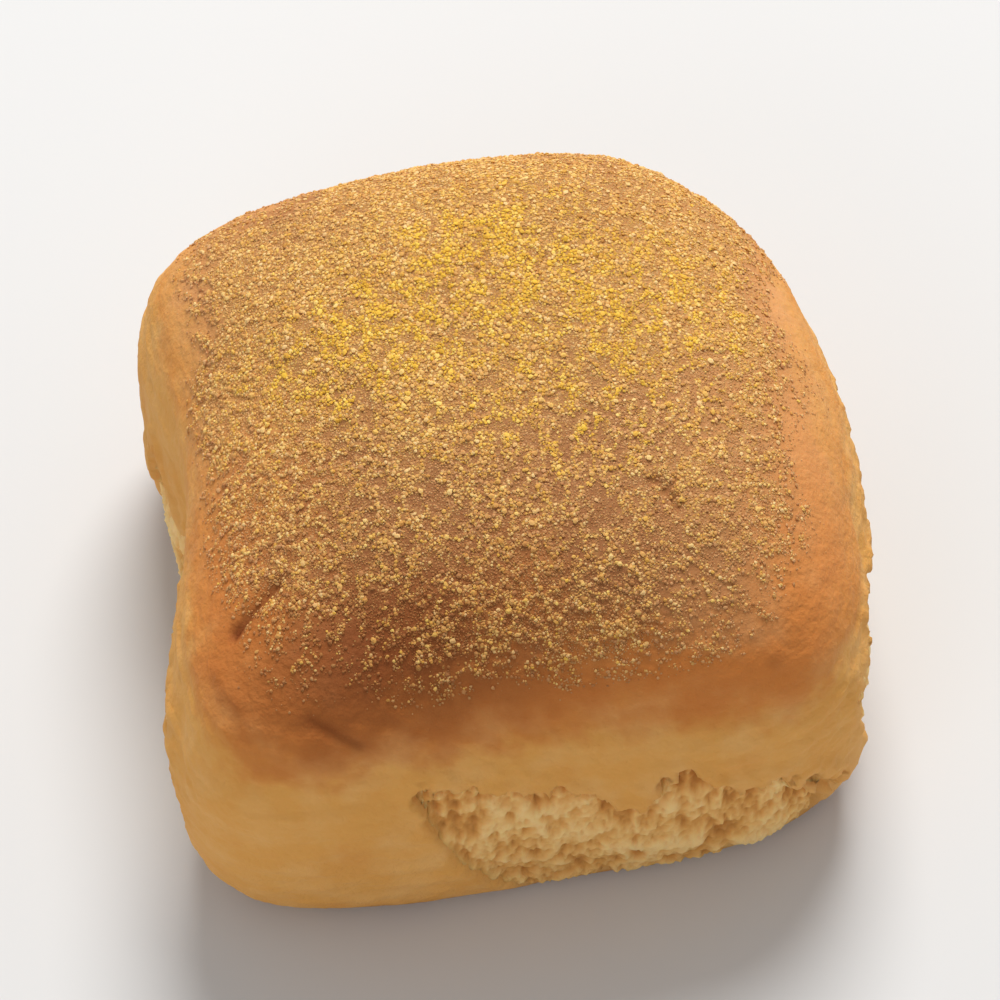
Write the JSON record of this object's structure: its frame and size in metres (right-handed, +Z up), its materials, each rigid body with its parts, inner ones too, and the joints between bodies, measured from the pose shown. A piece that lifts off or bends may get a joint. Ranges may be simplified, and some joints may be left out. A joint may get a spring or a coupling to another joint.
{
  "type": "corn bread roll",
  "caption": "Soft square corn bread roll with a domed browned crown dusted with coarse corn meal, pale torn sides and a flat baked base.",
  "frame": {"origin": "middle of the flat base, on the table", "axes": "+Z up through the crown, +X to the roll's right along its widest side, -Y the front, towards the viewer"},
  "size_m": [0.0906, 0.089, 0.06],
  "materials": {
    "crust": "soft baked bread, browned on the crown and pale yellow on the torn sides, matte",
    "corn_meal": "coarse yellow corn meal, matte grains"
  },
  "bodies": {
    "root": {"roll": "crust"}
  },
  "joints": []
}
